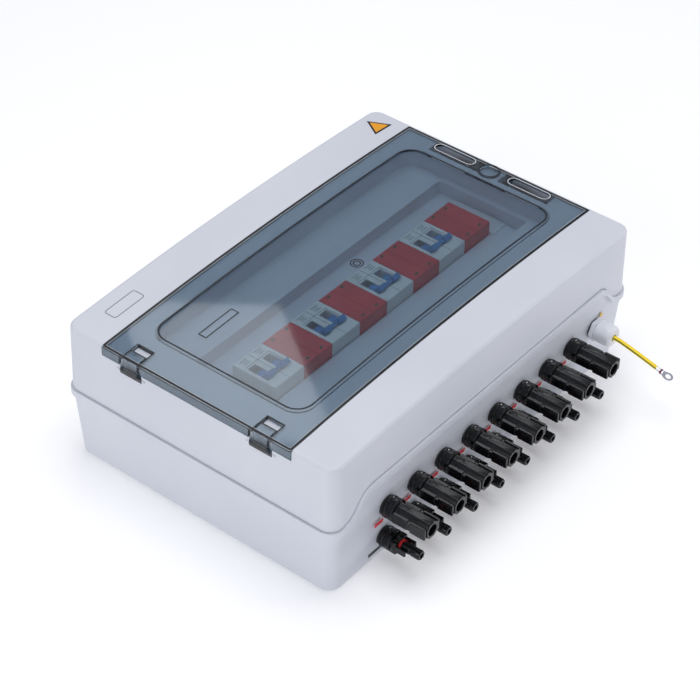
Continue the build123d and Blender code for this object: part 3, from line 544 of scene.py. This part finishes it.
# ---- panel connectors ----
def socket_master():
    """Hollow connector: ribbed collar, eight-sided barrel to the mouth, a shelf and a wing each side."""
    shell = turned(
        "socket_master",
        [(9.1, 0), (10, 0.8), (10, 3.2), (9.3, 3.6), (9.3, 4.4), (10, 4.8), (10, 10.2), (9.3, 11), (6, 11)],
    )
    for i in range(18):
        angle = 2 * pi * i / 18
        rib = block("rib", (9.2, -0.7, 5.3), (10.0, 0.7, 9.8), 0.2)
        rib.data.transform(Matrix.Rotation(angle, 4, "Z"))
        shell = join([shell, rib], "socket_master")
    barrel = turned("barrel", [(8.0, 10.5), (8.6, 11.4), (8.6, 43.3), (8.0, UPPER_OUT)], 8)
    barrel.data.transform(Matrix.Rotation(pi / 8, 4, "Z"))
    for side in (1, -1):
        cut(barrel, block("flat", (side * 8.4 - 1.6, -9, 27), (side * 8.4 + 1.6, 9, 50), 0))
        grip = block("grip", (-1.5, side * 8.4 - 0.9, 13.2), (1.5, side * 8.4 + 0.9, 20.5), 0)
        cut(barrel, grip)
    cut(barrel, turned("mouth", [(5.2, 21), (5.2, 50)]))
    wings = []
    for side in (1, -1):
        inner, outer = sorted((side * 5.6, side * 9.75))
        wings.append(block("shelf", (inner, -4.6, 11.2), (outer, 4.6, 26), 0.5))
        wings.append(block("root", (inner, -3.6, 25.5), (outer, 3.6, 29.5), 0.3))
        inner, outer = sorted((side * 7.3, side * 9.75))
        wings.append(block("wing", (inner, -5.4, 28.6), (outer, 5.4, 43.4), 0.5))
    for piece, width in ((shell, 0.15), (barrel, 0.4)):
        soften(piece, width)
    return join([shell, barrel, *wings], "socket_master")


def plug_master():
    """Probe connector: collar, square shoulder with a window, bored probe, two latch fingers with barbs."""
    shell = turned(
        "plug_master",
        [(8.7, 0), (9.5, 0.8), (9.5, 3.4), (8.9, 3.8), (8.9, 4.6), (9.5, 5), (9.5, 10.2), (8.9, 11), (6, 11)],
    )
    for i in range(16):
        angle = 2 * pi * i / 16
        rib = block("rib", (8.7, -0.7, 5.4), (9.5, 0.7, 9.8), 0.2)
        rib.data.transform(Matrix.Rotation(angle, 4, "Z"))
        shell = join([shell, rib], "plug_master")
    shoulder = block("shoulder", (-8, -6, 10.6), (8, 6, 17), 0.9)
    cut(shoulder, block("window", (-3, 4.9, 12.2), (3, 7, 15.6), 0))
    probe = turned(
        "probe",
        [(4.4, 16.5), (4.4, 26.5), (4.0, 27), (4.0, 28), (4.4, 28.5), (4.4, 36), (3.9, LOWER_TIP)]
        + [(2.2, LOWER_TIP), (2.2, 20)],
    )
    fingers = []
    for side in (1, -1):
        finger = block("finger", (side * 7 - 0.8, -3, 16.5), (side * 7 + 0.8, 3, 24.5), 0.3)
        barb = block("barb", (side * 7 - 1.0, -3, 22.4), (side * 7 + 1.0, 3, 26), 0.5)
        fingers += [finger, barb]
    for piece, width in ((shell, 0.15), (shoulder, 0.3), (probe, 0.2)):
        soften(piece, width)
    return join([shell, shoulder, probe, *fingers], "plug_master")


def connectors():
    masters = {"socket": socket_master(), "plug": plug_master()}
    for number, x in enumerate(PORT_X, start=1):
        for kind, wall, z in (("socket", UPPER_WALL, UPPER_Z), ("plug", LOWER_WALL, LOWER_Z)):
            piece = stand_out(masters[kind], f"{kind}_{number}_moulding", x, wall, z)
            dress(piece, FINISHES["connector_black"], "enclosure")
            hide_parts(f"{kind}_{number}_shell")
    for master in masters.values():
        bpy.data.objects.remove(master, do_unlink=True)


connectors()


# ---- lines moulded and printed on the door and cover, and painted shade and painted highlights at their edges, gaps and pockets ----
def flat_ring(name, inner, outer):
    """A thin flat ring about +Z."""
    ring = turned(name, [(inner, 0), (outer, 0), (outer, FILM), (inner, FILM)], 48)
    pick_faces(ring, lambda centre, normal: abs(normal.z) > 0.9 and centre.xy.length < 0.5)
    bpy.ops.mesh.delete(type="FACE")
    object_mode()
    return ring


def door_lines():
    """Painted shade and painted highlights for the edges of clear plastic, dark lines at the dish, the door
    edge and the slots and white lines inside the door edge and the slots; the lock ring, the gate mark, and
    the empty label frame.
    """
    # Painted shade: a dark line where the dish's edge looks dark through the tinted plastic.
    painted_shade_rim = film("door_dish_painted_shade", (-167.5, -78.8), (173.5, 78.8), 16, 0.0, hole=1.5, stations=32)
    dress(painted_shade_rim, DARK_PRINT_AND_PAINTED_SHADE, "door")
    # Painted shade: a dark band where the door's edge looks dark.
    edge = film("door_edge_painted_shade", (-202.4, -97.9), (198.3, 97.9), 2, 0.0, hole=2.2, stations=32)
    dress(edge, DARK_PRINT_AND_PAINTED_SHADE, "door")
    # Painted highlight: a white line inside the door's edge.
    glint = film("door_edge_glint", (-200.1, -95.6), (196.0, 95.6), 1, 0.0, hole=0.2, stations=32)
    dress(glint, PAINTED_HIGHLIGHT_WHITE, "door")
    for number, side in enumerate((1, -1), start=1):
        low_y, high_y = sorted((side * 17.5, side * 62.5))
        # Painted shade: dark outlines round the latch slots.
        outer = film(f"door_slot_{number}_rim", (183.2, low_y), (196.8, high_y), 6.6, 0.0, hole=0.8)
        dress(outer, DARK_PRINT_AND_PAINTED_SHADE, "door")
        low, high = (184.1, low_y + 0.9), (195.9, high_y - 0.9)
        # Painted highlight: white rims inside the latch slots.
        inner = film(f"door_slot_{number}_glint", low, high, 5.7, 0.0, hole=0.7)
        dress(inner, PAINTED_HIGHLIGHT_WHITE, "door")
    lock_line = flat_ring("lock_line", 8.5, 9.3)
    lock_line.data.transform(Matrix.Translation((LOCK[0] * MM, LOCK[1] * MM, crown_z(LOCK[0]) * MM)))
    dress(lock_line, DARK_PRINT_AND_PAINTED_SHADE, "door")
    frame_line = film("door_label_frame", (-144, 38.8), (-103, 47.5), 0.3, -1.2, hole=1.1, stations=6)
    dress(frame_line, DARK_PRINT_AND_PAINTED_SHADE, "door")
    rings = [flat_ring("gate_ring", inner, outer) for outer, inner in ((5.9, 4.9), (3.6, 2.4))]
    mark = join(rings, "door_gate_mark")
    mark.data.transform(Matrix.Translation((GATE[0] * MM, GATE[1] * MM, crown_z(GATE[0], -1.2) * MM)))
    dress(mark, DARK_PRINT_AND_PAINTED_SHADE, "door")


def cover_prints():
    """A plain triangle with nothing in it, and an empty badge outline."""
    for name, radius, above, ink in (
        ("hazard_border", 13.2, 0.0, DARK_PRINT_AND_PAINTED_SHADE),
        ("hazard_field", 9.8, FILM, AMBER_INK),
    ):
        deselect()
        bpy.ops.mesh.primitive_circle_add(vertices=3, radius=radius * MM, fill_type="NGON")
        piece = bpy.context.object
        piece.name = name
        bpy.ops.object.mode_set(mode="EDIT")
        bpy.ops.mesh.select_all(action="SELECT")
        bpy.ops.mesh.bevel(offset=0.4 * MM, segments=3, affect="VERTICES")
        bpy.ops.mesh.select_all(action="SELECT")
        bpy.ops.mesh.extrude_region_move(TRANSFORM_OT_translate={"value": (0, 0, FILM * MM)})
        bpy.ops.mesh.select_all(action="SELECT")
        bpy.ops.mesh.normals_make_consistent(inside=False)
        object_mode()
        turn = Matrix.Rotation(radians(-2), 4, "Z")
        tilt = Matrix.Rotation(SIGN[0] / CROWN_R, 4, "Y")
        place = Matrix.Translation((SIGN[0] * MM, SIGN[1] * MM, crown_z(SIGN[0], above) * MM))
        piece.data.transform(place @ tilt @ turn)
        dress(piece, ink, "enclosure")
    badge = film("blank_badge", (-172, 111.5), (-136, 124.5), 3, 0.0, hole=0.8, stations=6)
    dress(badge, GREY_INK, "enclosure")


def wall_dashes():
    """Short red dashes printed beside each upper connector."""
    for number, x in enumerate(PORT_X, start=1):
        dashes = []
        for start, end in ((-15.5, -12.5), (-11.8, -9.4), (-8.6, -5.4)):
            dash = block("dash", (x + start, -141.05, 41.2), (x + end, -140.4, 44.4), 0.05, 1)
            for vertex in dash.data.vertices:
                vertex.co.x += (vertex.co.z / MM - 42.8) * 0.25 * MM
            dashes.append(dash)
        dress(join(dashes, f"wall_dashes_{number}"), RED_INK, "enclosure")


def hinge_feet_and_painted_shade():
    """Dark films on the hinge tongues' feet, and painted shade: dark outlines round the slots and dark lines
    along the tongues' sides.
    """
    for number, y in enumerate(HINGE_Y, start=1):
        foot = block("foot", (-203.3, y - 10.6, 117.9), (-203.0, y + 10.6, 121.6), 0.1)
        stem = block("stem", (-203.3, y - 6.9, 121.2), (-203.0, y + 6.9, 125.4), 0.1)
        dress(join([foot, stem], f"hinge_{number}_foot"), DARK_PRINT_AND_PAINTED_SHADE, "door")
        # Painted shade: a dark outline round the hinge slot.
        ring = film(f"hinge_{number}_painted_shade_outline", (-192.7, y - 9.2), (-182.8, y + 9.2), 0.6, 0.0, hole=1.1)
        dress(ring, DARK_PRINT_AND_PAINTED_SHADE, "door")
        for letter, side in (("a", 1), ("b", -1)):
            low_y, high_y = sorted((y + side * 8.1, y + side * 9.3))
            # Painted shade: dark lines at the gaps beside the tongue.
            painted_shade_line = film(f"hinge_{number}_line_{letter}", (-202.4, low_y), (-192.7, high_y), 0, 0.0)
            dress(painted_shade_line, DARK_PRINT_AND_PAINTED_SHADE, "door")


def pocket_painted_shade():
    """Painted shade: dark sheets on the floors of the two latch pockets, under the latches."""
    for number, side in enumerate((1, -1), start=1):
        low_y, high_y = sorted((side * 18, side * 62))
        painted_shade = block(f"latch_pocket_{number}_lining", (182.5, low_y, 120.02), (198, high_y, 120.2), 0)
        dress(painted_shade, DARK_PRINT_AND_PAINTED_SHADE, "enclosure")


def painted_slot_shade():
    """Painted shade of a slot: a flat dark mark low in the connector wall."""
    dress(block("painted_slot_shade", (-152, -136.9, 7), (-134, -136.2, 10.5), 0.1), DARK_PRINT_AND_PAINTED_SHADE, "enclosure")


def gland_trim():
    """A small tan disc on the wall beside the gland."""
    disc = turned("wall_disc", [(2.4, 0), (2.4, 0.2), (2.0, 0.4), (0.5, 0.4)], 32)
    place = Matrix.Translation((162.3 * MM, -141.35 * MM, 64.1 * MM)) @ Matrix.Rotation(pi / 2, 4, "X")
    disc.data.transform(place)
    dress(disc, FINISHES["brass_bar"], "enclosure")


door_lines()
hinge_feet_and_painted_shade()
gland_trim()
pocket_painted_shade()
painted_slot_shade()
cover_prints()
wall_dashes()


# ---- print and windows on the devices ----
def device_prints():
    """Pole seams, plain bars and dark windows, set on each device's own nose."""
    for number in range(1, 5):
        low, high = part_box(f"mcb_{number}_body")
        x0, x1, top = low.x / MM, high.x / MM, high.z / MM
        seam = (x0 + x1) / 2
        parts = [block("seam", (seam - 0.2, -27.5, top - 0.02), (seam + 0.2, 15.5, top + 0.1), 0)]
        for pole in (x0 + 9, x1 - 9):
            for y, long in ((13, 9), (10.6, 6), (8.2, 7.5)):
                parts.append(
                    block("bar", (pole - long / 2, y, top - 0.02), (pole + long / 2, y + 0.7, top + 0.1), 0)
                )
        dress(join(parts, f"breaker_{number}_print"), GREY_INK, "enclosure")
        low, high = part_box(f"spd_{number}_cartridges")
        x0, x1, top = low.x / MM, high.x / MM, high.z / MM
        y0, y1 = low.y / MM, high.y / MM
        windows = []
        for pole in (x0 + 9, x1 - 9):
            for y in (y0 + 3, y1 - 5):
                windows.append(
                    block("window", (pole - 1.8, y, top - 0.02), (pole + 1.8, y + 2.2, top + 0.15), 0)
                )
        dress(join(windows, f"protector_{number}_windows"), DARK_WINDOW, "enclosure")


device_prints()


# ---- floor and light ----
def studio():
    """A pale floor, an even surround, soft boxes, stepped ones that the door mirrors, and a strip.

    The strip lights the upper connectors only, and nothing shades it.
    """
    deselect()
    bpy.ops.mesh.primitive_plane_add(size=8, location=(0, 0, -0.0005))
    floor = bpy.context.object
    floor.name = "floor"
    material, tree, shell = new_material("pale_floor")
    shell.inputs["Base Color"].default_value = colour("FDFDFE")
    shell.inputs["Roughness"].default_value = 0.8
    shell.inputs["Emission Color"].default_value = colour("FFFFFF")
    shell.inputs["Emission Strength"].default_value = 0.16
    floor.data.materials.append(material)
    world = bpy.data.worlds.new("surround")
    world.use_nodes = True
    world.node_tree.nodes["Background"].inputs["Color"].default_value = colour("EEF2FC")
    world.node_tree.nodes["Background"].inputs["Strength"].default_value = 0.38
    bpy.context.scene.world = world
    for name, place, size, power in (
        ("over", (0.2, 0.0, 2.3), 1.6, 26),
        ("left_fill", (-1.7, -0.3, 0.9), 1.2, 9),
        ("low_right", (1.3, -1.1, 0.28), 0.25, 4),
        ("sheen_1", (0.60, 0.76, 1.18), 0.26, 0.30),
        ("sheen_2", (0.60, 0.76, 1.18), 0.22, 0.22),
        ("sheen_3", (0.60, 0.76, 1.18), 0.18, 0.15),
        ("sheen_4", (0.60, 0.76, 1.18), 0.14, 0.09),
        ("sheen_5", (0.60, 0.76, 1.18), 0.10, 0.05),
    ):
        data = bpy.data.lights.new(name, "AREA")
        data.size = size
        data.energy = power
        lamp = bpy.data.objects.new(name, data)
        bpy.context.collection.objects.link(lamp)
        aim = Vector((0, 0, 0.07)) - Vector(place)
        lamp.matrix_world = Matrix.Translation(place) @ aim.to_track_quat("-Z", "Y").to_matrix().to_4x4()
    strip = bpy.data.lights.new("barrel_strip", "AREA")
    strip.shape = "RECTANGLE"
    strip.size, strip.size_y = 0.62, 0.16
    strip.energy = 6
    strip.use_shadow = False
    lamp = bpy.data.objects.new("barrel_strip", strip)
    bpy.context.collection.objects.link(lamp)
    lamp.matrix_world = Matrix.Translation((1.1, 0.68, 1.2)) @ Matrix.Rotation(radians(-36.9), 4, "X")
    lit = bpy.data.collections.new("strip_lit")
    for number in range(1, PORTS + 1):
        lit.objects.link(bpy.data.objects[f"socket_{number}_moulding"])
    lamp.light_linking.receiver_collection = lit
    bpy.context.scene.view_settings.view_transform = "Standard"


studio()
